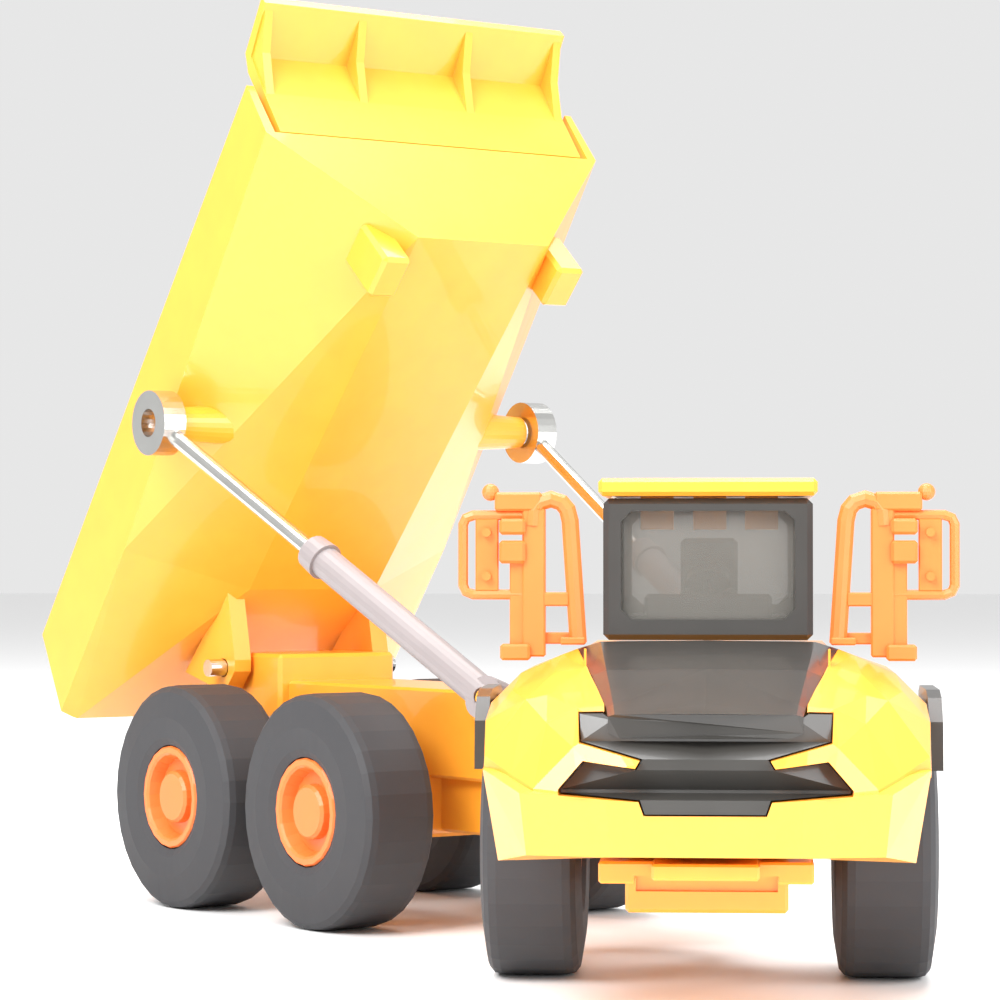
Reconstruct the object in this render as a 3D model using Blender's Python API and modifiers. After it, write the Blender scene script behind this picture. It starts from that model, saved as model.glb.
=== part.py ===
"""Articulated six-wheel dump truck, a small toy model, with its bed raised.

The front unit faces -Y, the rear unit swings towards -X, and Z is up.
Sizes below are in millimetres and angles in degrees.
"""

import math

import bmesh
import bpy
from mathutils import Matrix, Vector

MM = 0.001

# Driving dimensions
TYRE_RADIUS = 12.0
TYRE_HALF_WIDTH = 4.5
WHEEL_OFFSET = 15.7
RIM_RADIUS = 5.5
AXLE_RADIUS = 0.95
AXLE_HALF_LENGTH = 17.7
HITCH_Y = 14.5
SWING = 40.0
MID_AXLE_Y = 40.6
REAR_AXLE_Y = 67.5
TIP_Y = 72.0
TIP_Z = 25.6
TIP_ANGLE = 48.0
CAB_HALF_WIDTH = 9.15
CAB_FRONT_Y = -12.0
CAB_BACK_Y = 7.0
CAB_BASE_Z = 30.6
CAB_TOP_Z = 43.0
ROOF_THICKNESS = 1.55
BED_HALF_WIDTH = 21.3
BED_FLOOR_HALF_WIDTH = 8.3
BED_WALL = 1.2
BARREL_RADIUS = 1.6
BARREL_LENGTH = 29.5
ROD_RADIUS = 0.85
EYE_X = 24.35
EYE_RADIUS = 3.45
GAP = 0.15
ORIGIN_X = 27.4
ORIGIN_Y = -30.9

SIDES = (("right", -1.0), ("left", 1.0))

for old in list(bpy.data.objects):
    bpy.data.objects.remove(old, do_unlink=True)

truck = bpy.data.collections.new("articulated_dump_truck")
bpy.context.scene.collection.children.link(truck)
helpers = bpy.data.collections.new("helpers")
bpy.context.scene.collection.children.link(helpers)


def material(name, colour, roughness, metallic=0.0, alpha=1.0):
    made = bpy.data.materials.new(name)
    made.use_nodes = True
    shader = made.node_tree.nodes["Principled BSDF"]
    shader.inputs["Base Color"].default_value = (*colour, 1.0)
    shader.inputs["Roughness"].default_value = roughness
    shader.inputs["Metallic"].default_value = metallic
    shader.inputs["Alpha"].default_value = alpha
    return made


def helper(name, mesh):
    made = bpy.data.objects.new(name, mesh)
    helpers.objects.link(made)
    made.hide_render = True
    made.display_type = "WIRE"
    return made


def from_bmesh(name, shape):
    bmesh.ops.recalc_face_normals(shape, faces=shape.faces)
    mesh = bpy.data.meshes.new(name)
    shape.to_mesh(mesh)
    shape.free()
    return helper(name, mesh)


def box(x, y, z, rounding=0.0):
    """A block between the low and high values of each axis."""
    shape = bmesh.new()
    bmesh.ops.create_cube(shape, size=1.0)
    size = [(high - low) * MM for low, high in (x, y, z)]
    middle = [(high + low) * 0.5 * MM for low, high in (x, y, z)]
    bmesh.ops.scale(shape, vec=size, verts=shape.verts)
    bmesh.ops.translate(shape, vec=middle, verts=shape.verts)
    if rounding:
        bmesh.ops.bevel(
            shape, geom=shape.edges[:], offset=rounding * MM, segments=1, affect="EDGES"
        )
    return from_bmesh("box", shape)


def rod(start, end, radius, end_radius=None, segments=24):
    """A round bar, or a cone, between two points."""
    start = Vector(start) * MM
    end = Vector(end) * MM
    along = end - start
    shape = bmesh.new()
    bmesh.ops.create_cone(
        shape,
        cap_ends=True,
        segments=segments,
        radius1=radius * MM,
        radius2=(radius if end_radius is None else end_radius) * MM,
        depth=along.length,
    )
    turn = Vector((0, 0, 1)).rotation_difference(along).to_matrix().to_4x4()
    shape.transform(Matrix.Translation((start + end) * 0.5) @ turn)
    return from_bmesh("rod", shape)


def ball(centre, radius, segments=16, rings=10):
    shape = bmesh.new()
    bmesh.ops.create_uvsphere(
        shape, u_segments=segments, v_segments=rings, radius=radius * MM
    )
    bmesh.ops.translate(shape, vec=Vector(centre) * MM, verts=shape.verts)
    return from_bmesh("ball", shape)


def evaluated_mesh(made):
    graph = bpy.context.evaluated_depsgraph_get()
    graph.update()
    return bpy.data.meshes.new_from_object(made.evaluated_get(graph))


def weld(mesh):
    shape = bmesh.new()
    shape.from_mesh(mesh)
    bmesh.ops.remove_doubles(shape, verts=shape.verts, dist=2e-7)
    bmesh.ops.recalc_face_normals(shape, faces=shape.faces)
    shape.to_mesh(mesh)
    shape.free()


def from_curve(curve, turn=None):
    guide = bpy.data.objects.new("guide", curve)
    helpers.objects.link(guide)
    if turn is not None:
        guide.matrix_world = turn
    mesh = evaluated_mesh(guide)
    mesh.transform(guide.matrix_world)
    weld(mesh)
    bpy.data.objects.remove(guide, do_unlink=True)
    return helper("shape", mesh)


def plate(outline, low, high, facing):
    """A flat outline with a thickness from low to high along the facing axis."""
    curve = bpy.data.curves.new("outline", "CURVE")
    curve.dimensions = "2D"
    curve.fill_mode = "BOTH"
    curve.extrude = (high - low) * 0.5 * MM
    spline = curve.splines.new("POLY")
    spline.points.add(len(outline) - 1)
    for point, (across, up) in zip(spline.points, outline):
        point.co = (across * MM, up * MM, 0.0, 1.0)
    spline.use_cyclic_u = True
    middle = (high + low) * 0.5 * MM
    axes = {
        "X": Matrix(((0, 0, 1, middle), (1, 0, 0, 0), (0, 1, 0, 0), (0, 0, 0, 1))),
        "Y": Matrix(((1, 0, 0, 0), (0, 0, -1, middle), (0, 1, 0, 0), (0, 0, 0, 1))),
        "Z": Matrix.Translation((0, 0, middle)),
    }
    return from_curve(curve, axes[facing])


def tube(points, radius, sides=2, closed=False):
    curve = bpy.data.curves.new("tube", "CURVE")
    curve.dimensions = "3D"
    curve.bevel_depth = radius * MM
    curve.bevel_resolution = sides
    curve.use_fill_caps = not closed
    spline = curve.splines.new("POLY")
    spline.points.add(len(points) - 1)
    for point, place in zip(spline.points, points):
        point.co = (*(Vector(place) * MM), 1.0)
    spline.use_cyclic_u = closed
    return from_curve(curve)


def turned(profile, segments=32):
    """A closed profile of (radius, height) turned about Z, down its outer side first."""
    shape = bmesh.new()
    points = [shape.verts.new((radius * MM, 0, height * MM)) for radius, height in profile]
    ends = points[1:] + points[:1]
    on_axis = profile[0][0] == 0
    for start, end in zip(points, ends):
        if not (on_axis and end is points[0]):
            shape.edges.new((start, end))
    mesh = bpy.data.meshes.new("turned")
    shape.to_mesh(mesh)
    shape.free()
    made = helper("turned", mesh)
    screw = made.modifiers.new("Screw", "SCREW")
    screw.steps = segments
    screw.render_steps = segments
    screw.use_merge_vertices = True
    screw.merge_threshold = 1e-6
    mesh = evaluated_mesh(made)
    bpy.data.objects.remove(made, do_unlink=True)
    weld(mesh)
    return helper("turned", mesh)


def loft(sections):
    """A skin over closed sections with the same number of points, and flat ends."""
    shape = bmesh.new()
    rings = []
    for section in sections:
        rings.append([shape.verts.new(Vector(point) * MM) for point in section])
    for near, far in zip(rings, rings[1:]):
        for i in range(len(near)):
            j = (i + 1) % len(near)
            shape.faces.new((near[i], near[j], far[j], far[i]))
    shape.faces.new(rings[0])
    shape.faces.new(rings[-1])
    bmesh.ops.triangulate(shape, faces=shape.faces[:])
    return from_bmesh("loft", shape)


def mirrored(half):
    """A ring from its half at +X, without repeating points on the middle plane."""
    other = [(-x, y, z) for x, y, z in reversed(half) if abs(x) > 1e-9]
    return list(half) + other


def turn_shape(made, matrix):
    made.data.transform(matrix)
    made.data.update()
    return made


def combine(name, paint, parent, shapes, cuts=(), angle=35.0):
    """Joins the shapes into one solid, takes the cuts away and names the piece."""
    base = shapes[0]
    for other in shapes[1:]:
        step = base.modifiers.new("Union", "BOOLEAN")
        step.operation = "UNION"
        step.object = other
    for other in cuts:
        step = base.modifiers.new("Cut", "BOOLEAN")
        step.operation = "DIFFERENCE"
        step.object = other
    mesh = evaluated_mesh(base)
    weld(mesh)
    for used in list(shapes) + list(cuts):
        bpy.data.objects.remove(used, do_unlink=True)
    mesh.name = name
    mesh.shade_smooth()
    mesh.set_sharp_from_angle(angle=math.radians(angle))
    piece = bpy.data.objects.new(name, mesh)
    truck.objects.link(piece)
    mesh.materials.clear()
    mesh.materials.append(paint)
    piece.parent = parent
    return piece


def pivot(name, parent, place, turn=(0.0, 0.0, 0.0)):
    """An empty on a joint, given in the parent's own frame."""
    made = bpy.data.objects.new(name, None)
    truck.objects.link(made)
    made.parent = parent
    made.location = Vector(place) * MM
    made.rotation_euler = [math.radians(value) for value in turn]
    return made


def grown(outline, by):
    """The outline moved outwards by a distance, with mitred corners."""
    area = 0.0
    for (x0, y0), (x1, y1) in zip(outline, outline[1:] + outline[:1]):
        area += x0 * y1 - x1 * y0
    way = math.copysign(by, area)
    made = []
    for before, here, after in zip(outline[-1:] + outline[:-1], outline, outline[1:] + outline[:1]):
        first = Vector((here[0] - before[0], here[1] - before[1])).normalized()
        second = Vector((after[0] - here[0], after[1] - here[1])).normalized()
        normal_a = Vector((first.y, -first.x))
        normal_b = Vector((second.y, -second.x))
        middle = (normal_a + normal_b).normalized()
        reach = way / max(middle.dot(normal_a), 0.4)
        made.append((here[0] + middle.x * reach, here[1] + middle.y * reach))
    return made


ORANGE = material("orange_paint", (0.92, 0.37, 0.025), 0.28)
RAIL_ORANGE = material("orange_plastic", (0.85, 0.16, 0.03), 0.4)
DARK = material("dark_plastic", (0.035, 0.037, 0.04), 0.3)
BLACK = material("black_plastic", (0.012, 0.012, 0.013), 0.25)
CAB_DARK = material("cab_plastic", (0.018, 0.012, 0.01), 0.3)
GLASS = material("smoke_glass", (0.25, 0.24, 0.22), 0.05, 0.0, 0.35)
RUBBER = material("tyre_rubber", (0.035, 0.036, 0.04), 0.75)
STEEL = material("bright_steel", (0.6, 0.58, 0.55), 0.25, 1.0)
GREY = material("barrel_grey", (0.2, 0.17, 0.165), 0.4, 0.3)

front = pivot("front_unit", None, (ORIGIN_X, ORIGIN_Y, 0.0))
rear = pivot("rear_unit", front, (0.0, HITCH_Y, 0.0), (0.0, 0.0, SWING))
bed = pivot("bed_pivot", rear, (0.0, TIP_Y, TIP_Z), (-TIP_ANGLE, 0.0, 0.0))

# Wheels
TYRE_PROFILE = (
    (11.3, 4.05),
    (11.85, 3.6),
    (TYRE_RADIUS, 2.9),
    (TYRE_RADIUS, -2.9),
    (11.85, -3.6),
    (11.3, -4.05),
    (8.6, -TYRE_HALF_WIDTH),
    (6.4, -4.3),
    (RIM_RADIUS + 0.1, -3.9),
    (RIM_RADIUS + 0.1, 3.9),
    (6.4, 4.3),
    (8.6, TYRE_HALF_WIDTH),
)
HUB_PROFILE = (
    (0.0, 3.75),
    (2.5, 3.75),
    (2.8, 3.45),
    (2.85, 2.6),
    (4.1, 2.5),
    (4.55, 3.85),
    (4.8, 4.05),
    (RIM_RADIUS - 0.15, 4.05),
    (RIM_RADIUS, 3.85),
    (RIM_RADIUS, -3.9),
    (4.8, -3.9),
    (4.5, -0.6),
    (2.0, -0.6),
    (1.8, -2.6),
    (AXLE_RADIUS + 0.05, -2.6),
    (AXLE_RADIUS + 0.05, 2.15),
    (0.0, 2.15),
)
AXLES = (("front", front, 0.0), ("middle", rear, MID_AXLE_Y), ("rear", rear, REAR_AXLE_Y))
for where, unit, at in AXLES:
    centre = pivot(where + "_wheels", unit, (0.0, at, TYRE_RADIUS))
    shaft = rod((-AXLE_HALF_LENGTH, 0, 0), (AXLE_HALF_LENGTH, 0, 0), AXLE_RADIUS, segments=20)
    combine(where + "_axle", STEEL, centre, [shaft])
    for side, way in SIDES:
        outward = Matrix.Rotation(math.radians(90.0 * way), 4, "Y")
        shift = Matrix.Translation((way * WHEEL_OFFSET * MM, 0, 0))
        tyre = turn_shape(turned(TYRE_PROFILE), shift @ outward)
        hub = turn_shape(turned(HUB_PROFILE, 20), shift @ outward)
        combine(f"{where}_{side}_tyre", RUBBER, centre, [tyre])
        combine(f"{where}_{side}_hub", ORANGE, centre, [hub])

# Front chassis, seen under the bumper
chassis_shapes = [
    box((-6.8, 6.8), (-20.6, 9.0), (8.2, 15.0), 0.3),
    box((-6.8, 6.8), (-25.0, -18.0), (8.2, 12.6), 0.3),
    box((-4.35, 4.35), (-35.5, -20.0), (11.9, 13.2), 0.2),
    box((-8.8, 8.8), (-31.0, -22.0), (11.2, 13.0), 0.2),
    box((-5.0, 5.0), (-6.0, 9.5), (9.0, 19.2), 0.3),
]
for low, high in ((8.6, 10.5), (16.0, 18.0)):
    chassis_shapes.append(box((-3.1, 3.1), (8.0, HITCH_Y), (low, high)))
    chassis_shapes.append(rod((0, HITCH_Y, low), (0, HITCH_Y, high), 3.1))
chassis_cuts = [
    rod((-12, 0, TYRE_RADIUS), (12, 0, TYRE_RADIUS), AXLE_RADIUS + 0.15),
    rod((0, HITCH_Y, 6), (0, HITCH_Y, 22), 1.5),
    box((-5.9, 5.9), (-32.0, -24.5), (10.0, 11.85)),
]
combine("front_chassis", ORANGE, front, chassis_shapes, chassis_cuts)
pin_shapes = [
    rod((0, HITCH_Y, 7.9), (0, HITCH_Y, 18.6), 1.35),
    rod((0, HITCH_Y, 18.3), (0, HITCH_Y, 19.2), 2.3),
    rod((0, HITCH_Y, 7.4), (0, HITCH_Y, 8.3), 2.3),
]
combine("hitch_pin", STEEL, front, pin_shapes)

# Hood and grille insert
GRILLE = (
    (7.5, 24.75),
    (8.3, 25.25),
    (10.15, 25.2),
    (10.0, 23.05),
    (5.0, 21.7),
    (5.5, 20.85),
    (9.75, 21.4),
    (11.65, 19.2),
    (11.6, 18.95),
    (5.2, 18.5),
    (4.8, 17.4),
)
GRILLE_BACK_Y = -33.0


def grille_outline(by):
    whole = list(GRILLE) + [(-x, z) for x, z in reversed(GRILLE)]
    return grown(whole, by) if by else whole


def grille_front(x, z):
    return -38.6 + 0.018 * x * x + 0.33 * (z - 17.4)


def grille_shape(by, front_reach, back):
    made = plate(grille_outline(by), back - 4.0, back, "Y")
    for corner in made.data.vertices:
        if corner.co.y < (back - 2.0) * MM:
            corner.co.y = (grille_front(corner.co.x / MM, corner.co.z / MM) - front_reach) * MM
    return made


def hood_shape(by, above, below, reach=0.0):
    """The wedge from the windscreen down to the crease over the grille."""
    table = (
        # y, inner half width, top, outer half width, outer height, bow
        (-13.0, 9.3, 30.5, 11.25, 29.9, 0.0),
        (-24.0, 8.4, 28.4, 9.6, 27.9, 0.0),
        (-33.5, 7.5, 25.9, 8.1, 25.65, 0.014),
        (-36.25, 7.3, 25.2, 7.85, 25.03, 0.018),
    )
    sections = []
    for y, inner, top, outer, edge, bow in table:
        y -= reach if y < -36.0 else 0.0
        half = (
            (0.0, top + 0.12 + above),
            (inner + by * 0.5, top + above),
            (outer + by, edge + above),
            (outer + by, edge - 1.3 - below),
            (inner - 0.4, top - 1.9 - below),
            (0.0, top - 1.9 - below),
        )
        sections.append(mirrored([(x, y + bow * x * x, z) for x, z in half]))
    return loft(sections)


combine("hood_grille", DARK, front, [hood_shape(0.0, 0.0, 0.0), grille_shape(0.0, 0.0, GRILLE_BACK_Y)])

# Bumper, headlamp housings, fenders and the block under the cab
BUMPER_LOW = (
    (0.0, -37.3, 13.9),
    (7.5, -37.3, 13.9),
    (14.4, -35.8, 13.9),
    (17.1, -29.5, 12.9),
    (17.2, -21.0, 12.9),
    (0.0, -21.0, 13.9),
)
BUMPER_HIGH = (
    (0.0, -38.3, 18.9),
    (7.9, -38.3, 18.9),
    (14.9, -36.7, 18.95),
    (18.3, -30.6, 20.5),
    (18.6, -21.0, 20.5),
    (0.0, -21.0, 20.5),
)
FENDER = (
    # y, then x and z of: hood edge, ridge, shoulder, side top, side bottom
    (5.5, (10.9, 29.4), (12.4, 29.1), (16.2, 27.8), (18.8, 25.2), (18.9, 19.8)),
    (-14.0, (11.3, 29.9), (12.6, 29.4), (16.2, 27.8), (18.8, 25.2), (18.9, 19.8)),
    (-22.0, (10.2, 28.5), (13.0, 28.0), (16.4, 26.6), (18.7, 24.0), (18.8, 19.8)),
    (-28.5, (9.0, 27.0), (13.1, 26.5), (14.9, 26.1), (18.3, 21.5), (18.4, 19.8)),
    (-33.0, (8.2, 25.8), (10.4, 25.6), (12.9, 24.4), (15.8, 20.2), (15.9, 19.6)),
    (-36.4, (7.6, 24.5), (8.3, 24.4), (10.6, 22.6), (13.8, 19.3), (13.8, 18.7)),
    (-38.0, (5.6, 21.3), (6.2, 21.2), (8.0, 20.2), (10.0, 19.0), (10.0, 18.6)),
)
fender_sections = []
for y, *points in FENDER:
    top = points[0][1]
    half = [(0.0, y, top)] + [(x, y, z) for x, z in points] + [(0.0, y, points[-1][1])]
    fender_sections.append(mirrored(half))
body_shapes = [
    loft(fender_sections),
    loft([mirrored(BUMPER_LOW), mirrored(BUMPER_HIGH)]),
    box((-10.4, 10.4), (-21.0, 8.0), (19.8, 30.1)),
]
body_cuts = [
    hood_shape(GAP, 6.0, 0.25, 3.0),
    grille_shape(GAP, 3.0, GRILLE_BACK_Y + 0.5),
    rod((10.6, 0, TYRE_RADIUS), (24.0, 0, TYRE_RADIUS), TYRE_RADIUS + 1.5, segments=40),
    rod((-10.6, 0, TYRE_RADIUS), (-24.0, 0, TYRE_RADIUS), TYRE_RADIUS + 1.5, segments=40),
    box((-9.5, 9.5), (-40.0, -20.0), (10.0, 13.45)),
]
combine("front_body", ORANGE, front, body_shapes, body_cuts)

for side, way in SIDES:
    arch = [(-13.6, 19.4), (-13.2, 23.6), (-11.0, 25.6), (-8.0, 26.2), (2.5, 26.2), (4.6, 25.6), (5.2, 22.0)]
    trim = plate(arch, 19.1, 20.3, "X") if way > 0 else plate(arch, -20.3, -19.1, "X")
    hole = rod((way * 15.0, 0, TYRE_RADIUS), (way * 24.0, 0, TYRE_RADIUS), TYRE_RADIUS + 0.9, segments=40)
    combine(side + "_mudguard", BLACK, front, [trim], [hole])

# Cab
WALL = 1.0
shell = box((-CAB_HALF_WIDTH, CAB_HALF_WIDTH), (CAB_FRONT_Y, CAB_BACK_Y), (CAB_BASE_Z, CAB_TOP_Z), 0.5)
hollow = CAB_HALF_WIDTH - WALL
cab_cuts = [
    box((-hollow, hollow), (CAB_FRONT_Y + WALL, CAB_BACK_Y - WALL), (CAB_BASE_Z + 1.0, CAB_TOP_Z + 3.0)),
    box((-7.6, 7.6), (CAB_FRONT_Y - 3.0, CAB_FRONT_Y + 2.0), (32.4, 41.9), 0.9),
    box((-7.2, 7.2), (CAB_BACK_Y - 2.0, CAB_BACK_Y + 3.0), (33.5, 41.7), 0.9),
    box((-13.0, 13.0), (-10.2, -3.4), (32.8, 41.8), 0.9),
    box((-13.0, 13.0), (-2.2, 5.2), (32.8, 41.8), 0.9),
]
combine("cab_frame", CAB_DARK, front, [shell], cab_cuts)
pane = hollow - GAP
sleeve = box((-pane, pane), (CAB_FRONT_Y + WALL + GAP, CAB_BACK_Y - WALL - GAP), (CAB_BASE_Z + 1.2, CAB_TOP_Z - 0.2))
inside = box(
    (-pane + 0.6, pane - 0.6),
    (CAB_FRONT_Y + WALL + GAP + 0.6, CAB_BACK_Y - WALL - GAP - 0.6),
    (CAB_BASE_Z - 1.0, CAB_TOP_Z + 2.0),
)
combine("cab_glazing", GLASS, front, [sleeve], [inside])
roof_z = CAB_TOP_Z + 0.2
roof_shapes = [
    box((-9.55, 9.55), (CAB_FRONT_Y - 0.6, CAB_BACK_Y + 0.6), (roof_z, roof_z + ROOF_THICKNESS), 0.35),
]
for at in (-4.5, 0.15, 4.7):
    roof_shapes.append(box((at - 1.45, at + 1.45), (-8.6, -6.2), (40.3, roof_z + 0.5)))
combine("cab_roof", ORANGE, front, roof_shapes)
seat_shapes = [
    box((-6.9, 6.9), (-9.9, 4.9), (31.9, 32.7)),
    box((-2.6, 2.6), (-2.8, 3.0), (32.2, 35.0), 0.4),
    box((-2.6, 2.6), (1.6, 3.8), (33.5, 39.6), 0.4),
    box((-5.6, 5.6), (-9.6, -7.6), (32.2, 34.6), 0.3),
    rod((0, -8.4, 33.5), (0, -6.4, 36.0), 0.45, segments=12),
    rod((0, -6.6, 35.6), (0, -6.2, 36.2), 1.9, segments=20),
]
combine("cab_interior", BLACK, front, seat_shapes)

# Mirror and hand rails
RAIL_Y = -13.4
for side, way in SIDES:

    def across(low, high):
        return (min(way * low, way * high), max(way * low, way * high))

    def line(points, y=RAIL_Y):
        return [(way * x, y, z) for x, z in points]

    post_y = (RAIL_Y - 0.6, RAIL_Y + 0.6)
    rail_shapes = [
        box(across(14.1, 16.1), post_y, (29.2, 42.1), 0.15),
        tube(
            line(
                (
                    (15.2, 40.6),
                    (15.1, 41.9),
                    (14.6, 42.6),
                    (13.6, 42.9),
                    (12.7, 42.6),
                    (12.2, 42.0),
                    (11.95, 41.0),
                    (11.25, 30.4),
                )
            ),
            0.78,
            3,
        ),
        box(across(12.0, 14.6), (RAIL_Y - 0.5, RAIL_Y + 0.5), (33.6, 34.8), 0.12),
        tube(
            line(
                (
                    (15.4, 41.5),
                    (20.4, 41.5),
                    (21.05, 41.25),
                    (21.3, 40.7),
                    (21.3, 35.4),
                    (21.05, 34.85),
                    (20.4, 34.6),
                    (15.4, 34.6),
                )
            ),
            0.44,
        ),
        box(across(18.2, 20.2), (RAIL_Y - 0.35, RAIL_Y + 0.35), (34.9, 41.2), 0.1),
        rod((way * 19.2, RAIL_Y - 0.9, 40.0), (way * 19.2, RAIL_Y, 40.0), 0.4, segments=10),
        rod((way * 19.2, RAIL_Y - 0.9, 36.2), (way * 19.2, RAIL_Y, 36.2), 0.4, segments=10),
        box(across(14.4, 18.5), (RAIL_Y - 0.75, RAIL_Y + 0.75), (41.85, 43.5), 0.2),
        ball((way * 18.9, RAIL_Y, 43.5), 0.75, 12, 8),
        box(across(15.8, 18.1), (RAIL_Y - 1.1, RAIL_Y + 0.5), (39.8, 41.2), 0.25),
        box(across(15.8, 18.1), (RAIL_Y - 1.1, RAIL_Y + 0.5), (37.3, 39.3), 0.25),
        box(across(15.9, 17.2), (RAIL_Y - 0.4, RAIL_Y + 0.4), (29.8, 37.8), 0.12),
        box(across(15.4, 18.0), (RAIL_Y - 1.2, RAIL_Y + 0.9), (28.9, 30.3), 0.2),
        box(across(10.6, 12.8), (RAIL_Y - 0.9, RAIL_Y + 0.9), (30.25, 30.9), 0.12),
        box(across(11.0, 16.4), (RAIL_Y + 0.1, RAIL_Y + 0.9), (30.3, 31.3), 0.1),
    ]
    combine(side + "_rail", RAIL_ORANGE, front, rail_shapes)

# Rear chassis
PIVOT_X = 17.5
PIVOT_Y = 11.4
PIVOT_Z = 24.3
eye_y = TIP_Y - 26.4 * math.cos(math.radians(TIP_ANGLE)) + 10.1 * math.sin(math.radians(TIP_ANGLE))
eye_z = TIP_Z + 26.4 * math.sin(math.radians(TIP_ANGLE)) + 10.1 * math.cos(math.radians(TIP_ANGLE))
chassis = [
    box((-2.8, 2.8), (0.0, 10.0), (10.9, 15.6)),
    rod((0, 0, 10.9), (0, 0, 15.6), 2.8),
    box((-6.4, 6.4), (6.0, 75.0), (15.2, 24.3), 0.3),
    box((-5.0, 5.0), (7.0, 73.0), (9.6, 16.0), 0.3),
    box((-7.6, 7.6), (64.5, 74.4), (20.0, 27.2), 0.4),
    plate(((-6.0, 31.0), (-15.3, 17.0), (-15.3, 9.6), (-6.0, 7.4), (6.0, 7.4), (15.3, 9.6), (15.3, 17.0), (6.0, 31.0)), 21.9, 24.0, "Z"),
]
for at in (MID_AXLE_Y, REAR_AXLE_Y):
    chassis.append(box((-10.2, 10.2), (at - 3.2, at + 3.2), (9.0, 15.6), 0.4))
chassis_cuts = [
    rod((0, 0, 8), (0, 0, 20), 1.5),
    rod((-12, TIP_Y, TIP_Z), (12, TIP_Y, TIP_Z), 1.05),
]
for at in (MID_AXLE_Y, REAR_AXLE_Y):
    chassis_cuts.append(rod((-14, at, TYRE_RADIUS), (14, at, TYRE_RADIUS), AXLE_RADIUS + 0.15))

# Hoist cylinders: each swings on a splayed trunnion, and its eye stands beside the bed's boss
eye_low = Vector((0.0, TIP_Y - 26.4, TIP_Z + 10.1))
barrels = []
for side, way in SIDES:
    low = Vector((way * PIVOT_X, PIVOT_Y, PIVOT_Z))
    high = Vector((way * EYE_X, eye_y, eye_z))
    folded = Vector((way * EYE_X, eye_low.y, eye_low.z))
    along = (high - low).normalized()
    hinge = along.cross((folded - low).normalized()).normalized()
    outward = hinge if hinge.x * way > 0 else -hinge
    print("cylinder", side, "pivot", tuple(low), "along", tuple(along), "hinge", tuple(hinge))
    print("  raised length", (high - low).length, "lowered", (folded - low).length)
    print("  turn", math.degrees(along.angle(folded - low)))
    inner = low - outward * 1.55
    stub = low - outward * 5.0
    chassis.append(rod(stub, inner, 1.7, 1.5, 16))
    chassis.append(rod(stub, low + outward * 1.4, 0.8, segments=16))
    barrels.append((side, way, low, high, along, outward))
combine("rear_chassis", ORANGE, rear, chassis, chassis_cuts)
tip_pin = rod((-12.2, TIP_Y, TIP_Z), (12.2, TIP_Y, TIP_Z), 0.95, segments=20)
combine("bed_pin", STEEL, rear, [tip_pin])

for side, way, low, high, along, outward in barrels:
    barrel_end = low + along * BARREL_LENGTH
    swing = pivot(side + "_barrel_pivot", rear, low)
    to_pivot = Matrix.Translation(-low * MM)
    barrel_shapes = [
        rod(low - outward * 1.25, low + outward * 1.25, 2.1, segments=20),
        rod(low + along * 0.5, barrel_end, BARREL_RADIUS, segments=20),
        rod(barrel_end - along * 2.2, barrel_end, 1.95, 1.8, segments=20),
    ]
    barrel_cuts = [
        rod(low + along * 4.6, barrel_end + along * 2.0, ROD_RADIUS + 0.15, segments=16),
        rod(low - outward * 3.0, low + outward * 3.0, 0.95, segments=16),
    ]
    barrel = combine(side + "_barrel", GREY, swing, barrel_shapes, barrel_cuts)
    barrel.data.transform(to_pivot)
    rod_inner = high - along * 31.2
    rod_shapes = [
        rod(rod_inner, high - along * 1.9, ROD_RADIUS, segments=16),
        rod((high.x - 1.3, high.y, high.z), (high.x + 1.3, high.y, high.z), EYE_RADIUS, segments=28),
    ]
    rod_cuts = [rod((high.x - 4, high.y, high.z), (high.x + 4, high.y, high.z), 1.5, segments=20)]
    piece = combine(side + "_rod", STEEL, swing, rod_shapes, rod_cuts)
    piece.data.transform(to_pivot)

# Bed, in its own level frame with the tip hinge at the origin
BED = (
    # y, floor half width, floor height, knee height, rim half width, rim height
    (-57.0, 8.3, 4.0, 17.6, 21.05, 24.3),
    (-8.0, 8.3, 4.0, 10.6, 20.9, 20.3),
    (15.2, 19.6, 8.0, 9.0, 20.7, 18.6),
)


def bed_section(row, wall, lift, lean):
    y, floor, base, knee, rim_x, rim = row
    half = (
        (0.0, y + lean * 0.0, base + wall),
        (floor - wall * 0.35, y, base + wall),
        (BED_HALF_WIDTH - wall, y - lean * 2.2, knee + wall * 0.3),
        (rim_x - wall, y - lean * 3.3, rim + lift),
        (0.0, y - lean * 3.3, rim + lift),
    )
    return mirrored(half)


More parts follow.
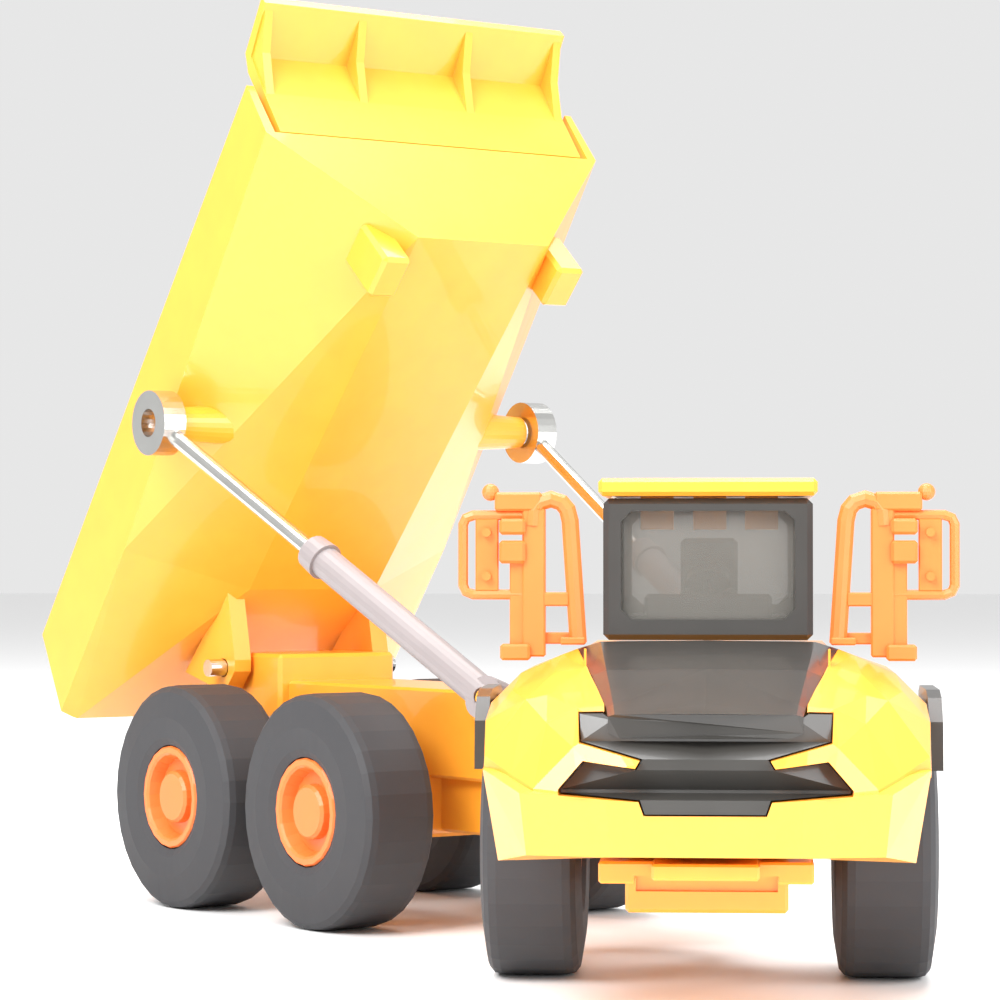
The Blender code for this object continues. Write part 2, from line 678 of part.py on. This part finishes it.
outer = loft([bed_section(BED[0], 0.0, 0.0, 1.0), bed_section(BED[1], 0.0, 0.0, 0.0), bed_section(BED[2], 0.0, 0.0, -0.0)])
front_row = (-57.0 + BED_WALL + 0.1, *BED[0][1:])
last_row = (22.0, 19.6, 9.2, 10.6, 20.65, 18.2)
inner = loft([bed_section(front_row, BED_WALL, 4.0, 1.0), bed_section(BED[1], BED_WALL, 4.0, 0.0), bed_section(last_row, BED_WALL, 4.5, 0.0)])
tail_cut = plate(((15.3, 7.9), (12.4, 18.8), (12.4, 26.0), (24.0, 26.0), (24.0, 4.0), (15.3, 4.0)), -30.0, 30.0, "X")
headboard_cut = box((-20.2, 20.2), (-70.0, -53.0), (17.7, 30.0))
bed_shapes = [outer]
for side, way in SIDES:
    ear = plate(((-7.0, 5.2), (6.0, 5.6), (2.3, -1.2), (1.3, -2.0), (-1.3, -2.0), (-2.3, -1.2)), 8.1, 10.2, "X")
    if way < 0:
        ear = turn_shape(ear, Matrix.Translation((-18.3 * MM, 0, 0)))
    bed_shapes.append(ear)
    bed_shapes.append(rod((way * 13.4, -26.4, 10.1), (way * 22.7, -26.4, 10.1), 2.3, 1.75))
    hook = (9.4, 12.8) if way > 0 else (-12.8, -9.4)
    bed_shapes.append(box(hook, (-55.6, -50.6), (1.8, 8.0), 0.4))
bed_cuts = [inner, tail_cut, headboard_cut, rod((-14, 0, 0), (14, 0, 0), 1.05)]
combine("dump_bed", ORANGE, bed, bed_shapes, bed_cuts)

# Spill guard over the headboard, with its ribs
guard_side = (
    (-58.1, 17.95),
    (-59.2, 17.95),
    (-60.3, 23.2),
    (-61.6, 27.9),
    (-67.4, 29.3),
    (-67.4, 30.3),
    (-61.2, 29.0),
    (-60.0, 27.2),
)
guard_shapes = [plate(guard_side, -19.4, 19.4, "X")]
rib_side = ((-59.0, 18.3), (-60.2, 23.0), (-63.0, 26.6), (-67.2, 29.5), (-61.4, 29.0), (-59.6, 24.0))
for at in (-18.7, -7.0, 6.8, 18.7):
    guard_shapes.append(plate(rib_side, at - 0.5, at + 0.5, "X"))
combine("spill_guard", ORANGE, bed, guard_shapes)

for left in list(helpers.objects):
    bpy.data.objects.remove(left, do_unlink=True)
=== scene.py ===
from math import pi, radians

import bpy
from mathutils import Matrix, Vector


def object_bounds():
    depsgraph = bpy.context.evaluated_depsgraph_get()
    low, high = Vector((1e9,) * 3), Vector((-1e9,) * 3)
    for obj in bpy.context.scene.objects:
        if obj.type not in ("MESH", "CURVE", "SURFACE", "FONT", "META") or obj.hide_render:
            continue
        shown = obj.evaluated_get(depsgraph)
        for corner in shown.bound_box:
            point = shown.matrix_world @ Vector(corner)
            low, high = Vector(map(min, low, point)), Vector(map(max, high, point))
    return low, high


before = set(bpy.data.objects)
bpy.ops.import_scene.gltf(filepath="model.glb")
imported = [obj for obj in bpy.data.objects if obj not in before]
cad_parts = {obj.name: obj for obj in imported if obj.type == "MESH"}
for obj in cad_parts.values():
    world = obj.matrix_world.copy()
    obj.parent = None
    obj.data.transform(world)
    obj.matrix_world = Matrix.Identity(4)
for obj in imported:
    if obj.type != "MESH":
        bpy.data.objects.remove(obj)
low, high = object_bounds()

finishes = {
    "orangePaint": {"color": (0.93, 0.36, 0.03), "rough": 0.32, "metal": 0.0, "coat": 0.35, "bump": 0.02},
    "orangePlastic": {"color": (0.88, 0.17, 0.03), "rough": 0.4, "metal": 0.0, "coat": 0.0, "bump": 0.02},
    "blackPlastic": {"color": (0.035, 0.033, 0.03), "rough": 0.3, "metal": 0.0, "coat": 0.2, "bump": 0.02},
    "tyreRubber": {"color": (0.035, 0.035, 0.038), "rough": 0.7, "metal": 0.0, "coat": 0.0, "bump": 0.15},
    "brightSteel": {"color": (0.6, 0.6, 0.58), "rough": 0.22, "metal": 1.0, "coat": 0.0, "bump": 0.02},
    "barrelGrey": {"color": (0.25, 0.22, 0.22), "rough": 0.4, "metal": 0.0, "coat": 0.0, "bump": 0.02},
    "smokeGlass": {"color": (0.2, 0.19, 0.17), "rough": 0.08, "metal": 0.0, "coat": 0.0, "bump": 0.0},
}
finishOfNode = {
    "hood_grille": "blackPlastic", "cab_frame": "blackPlastic", "cab_interior": "blackPlastic",
    "right_mudguard": "blackPlastic", "left_mudguard": "blackPlastic", "cab_glazing": "smokeGlass",
    "right_rail": "orangePlastic", "left_rail": "orangePlastic", "hitch_pin": "brightSteel",
    "bed_pin": "brightSteel", "right_rod": "brightSteel", "left_rod": "brightSteel",
    "right_barrel": "barrelGrey", "left_barrel": "barrelGrey",
}
finishOfEnding = {"_tyre": "tyreRubber", "_hub": "orangePlastic", "_axle": "brightSteel"}


def makeFinish(name, values):
    """A painted or moulded surface whose colour, roughness and bump vary a little over it."""
    material = bpy.data.materials.new(name)
    material.use_nodes = True
    nodes, links = material.node_tree.nodes, material.node_tree.links
    shader = nodes["Principled BSDF"]
    place = nodes.new("ShaderNodeTexCoord")
    noise = nodes.new("ShaderNodeTexNoise")
    noise.inputs["Scale"].default_value = 260
    links.new(place.outputs["Object"], noise.inputs["Vector"])
    mix = nodes.new("ShaderNodeMix")
    mix.data_type = "RGBA"
    mix.inputs["A"].default_value = (*[part * 0.92 for part in values["color"]], 1)
    mix.inputs["B"].default_value = (*[min(part * 1.06, 1) for part in values["color"]], 1)
    links.new(noise.outputs["Fac"], mix.inputs["Factor"])
    links.new(mix.outputs["Result"], shader.inputs["Base Color"])
    rough = nodes.new("ShaderNodeMapRange")
    rough.inputs["To Min"].default_value = values["rough"] * 0.85
    rough.inputs["To Max"].default_value = values["rough"] * 1.15
    links.new(noise.outputs["Fac"], rough.inputs["Value"])
    links.new(rough.outputs["Result"], shader.inputs["Roughness"])
    bump = nodes.new("ShaderNodeBump")
    bump.inputs["Strength"].default_value = values["bump"]
    bump.inputs["Distance"].default_value = 0.0003
    links.new(noise.outputs["Fac"], bump.inputs["Height"])
    links.new(bump.outputs["Normal"], shader.inputs["Normal"])
    shader.inputs["Metallic"].default_value = values["metal"]
    shader.inputs["Coat Weight"].default_value = values["coat"]
    if name == "smokeGlass":
        shader.inputs["Alpha"].default_value = 0.45
    return material


materials = {name: makeFinish(name, values) for name, values in finishes.items()}
for node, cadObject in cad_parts.items():
    finish = finishOfNode.get(node, "orangePaint")
    for ending, endingFinish in finishOfEnding.items():
        if node.endswith(ending):
            finish = endingFinish
    cadObject.data.materials.clear()
    cadObject.data.materials.append(materials[finish])
print("finishes done")

cameraPlace = {"location": (0.030005, -0.33841, 0.038), "turn": 0.0702, "pitch": 0.0164, "lens": 121.7}
bpy.ops.object.camera_add(
    location=cameraPlace["location"],
    rotation=(pi / 2 + cameraPlace["pitch"], 0, cameraPlace["turn"]),
)
camera = bpy.context.object
camera.data.lens = cameraPlace["lens"]
bpy.context.scene.camera = camera

lamps = {
    "keyLight": {"place": (-0.25, -0.4, 0.45), "watts": 6.0, "width": 0.35},
    "fillLight": {"place": (0.4, -0.3, 0.25), "watts": 3.0, "width": 0.4},
    "topLight": {"place": (0.0, 0.1, 0.6), "watts": 5.0, "width": 0.5},
}
middle = (Vector(low) + Vector(high)) / 2
for name, values in lamps.items():
    place = Vector(values["place"])
    bpy.ops.object.light_add(type="AREA", location=place)
    lamp = bpy.context.object
    lamp.name = name
    lamp.data.energy = values["watts"]
    lamp.data.size = values["width"]
    lamp.rotation_euler = (middle - place).to_track_quat("-Z", "Y").to_euler()

bpy.ops.mesh.primitive_plane_add(size=6, location=(0, 0, low[2]))
floor = bpy.context.object
floor.name = "floor"
floorFinish = bpy.data.materials.new("floorFinish")
floorFinish.use_nodes = True
floorFinish.node_tree.nodes["Principled BSDF"].inputs["Base Color"].default_value = (0.9, 0.9, 0.9, 1)
floor.data.materials.append(floorFinish)

world = bpy.data.worlds.new("paleWorld")
world.use_nodes = True
world.node_tree.nodes["Background"].inputs["Color"].default_value = (1, 1, 1, 1)
world.node_tree.nodes["Background"].inputs["Strength"].default_value = 0.8
bpy.context.scene.world = world
bpy.context.scene.view_settings.view_transform = "Standard"
print("camera, lights and floor done")
